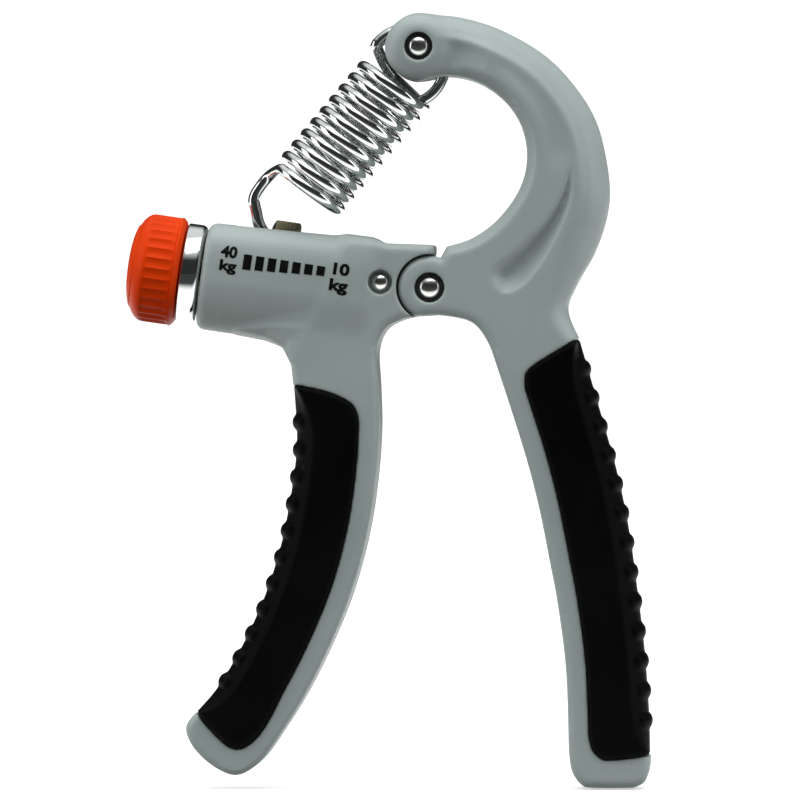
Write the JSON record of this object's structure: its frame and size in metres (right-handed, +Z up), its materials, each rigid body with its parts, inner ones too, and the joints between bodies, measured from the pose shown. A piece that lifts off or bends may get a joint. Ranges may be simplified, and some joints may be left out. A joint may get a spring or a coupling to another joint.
{
  "type": "hand grip strengthener",
  "caption": "Adjustable hand grip strengthener: two curved levers with rubber grips on a rivet, pulled apart by a coil spring whose hook a knob and screw move along a barrel.",
  "frame": {"origin": "under the middle of the object, on the plane that the right handle's foot stands on", "axes": "+Z up along the handles, +X to the right as seen from the front, -Y towards the front"},
  "size_m": [0.106, 0.022, 0.1541],
  "materials": {
    "lever_plastic": "satin light grey glass-filled moulding",
    "rubber": "soft black overmoulded rubber",
    "orange_plastic": "saturated orange, half gloss",
    "chrome": "bright plated wire and ring",
    "steel": "polished steel",
    "dark_steel": "dark oiled washer",
    "bronze": "dark bronze",
    "nylon": "black nylon"
  },
  "bodies": {
    "left_lever": {"left_lever": "lever_plastic", "left_grip_pad": "rubber", "pivot_bush": "bronze", "slip_washer_front": "nylon", "slip_washer_rear": "nylon", "lock_pin": "steel", "collar": "chrome", "end_bush": "bronze", "thrust_washer": "nylon"},
    "right_lever": {"right_lever": "lever_plastic", "right_grip_pad": "rubber", "pivot_rivet": "steel", "pivot_washer_front": "dark_steel", "pivot_washer_rear": "dark_steel", "spring_pin": "steel", "spring_pin_washer_front": "dark_steel", "spring_pin_washer_rear": "dark_steel"},
    "screw_and_knob": {"adjusting_screw": "steel", "knob": "orange_plastic", "knob_cap": "orange_plastic", "knob_screw": "steel"},
    "traveller": {"traveller_nut": "bronze"},
    "spring_hook": {"spring_hook": "chrome"},
    "spring_coils": {"spring_coils": "chrome"},
    "spring_loop": {"spring_loop": "chrome"}
  },
  "joints": [
    {"name": "squeeze", "type": "hinge", "parent": "left_lever", "child": "right_lever", "pos_m": [0.008, 0, 0.0996], "axis": [0, 1, 0], "range_deg": [0, 28], "stiffness_Nm_per_rad": 20, "springref_deg": -5.73},
    {"name": "knob_turn", "type": "hinge", "parent": "left_lever", "child": "screw_and_knob", "pos_m": [-0.0376, 0, 0.1021], "axis": [0.9895, 0, -0.1444], "range_deg": [-3128, 2194]},
    {"name": "traveller_slide", "type": "slide", "parent": "left_lever", "child": "traveller", "axis": [0.9895, 0, -0.1444], "range_m": [-0.0061, 0.0087]},
    {"name": "spring_tilt", "type": "hinge", "parent": "left_lever", "child": "spring_hook", "pos_m": [-0.01372, 0, 0.16046], "axis": [0, 1, 0], "range_deg": [-9.5, 6.7], "deforming": ["spring_hook"]},
    {"name": "spring_swing", "type": "hinge", "parent": "spring_hook", "child": "spring_coils", "pos_m": [-0.02138, 0, 0.10802], "axis": [0, 1, 0], "range_deg": [0, 20.6], "deforming": ["spring_coils"]},
    {"name": "spring_stretch", "type": "slide", "parent": "spring_coils", "child": "spring_loop", "axis": [0.5651, 0, 0.8251], "range_m": [0, 0.0131], "deforming": ["spring_loop"]}
  ],
  "couplings": [
    {"joint": "knob_turn", "follows": "traveller_slide", "rad_per_m": -6283.2},
    {"joint": "spring_tilt", "follows": "traveller_slide", "rad_per_m": -18.868},
    {"joint": "spring_swing", "follows": "squeeze", "ratio": 0.7338},
    {"joint": "spring_stretch", "follows": "squeeze", "m_per_rad": 0.026598}
  ]
}
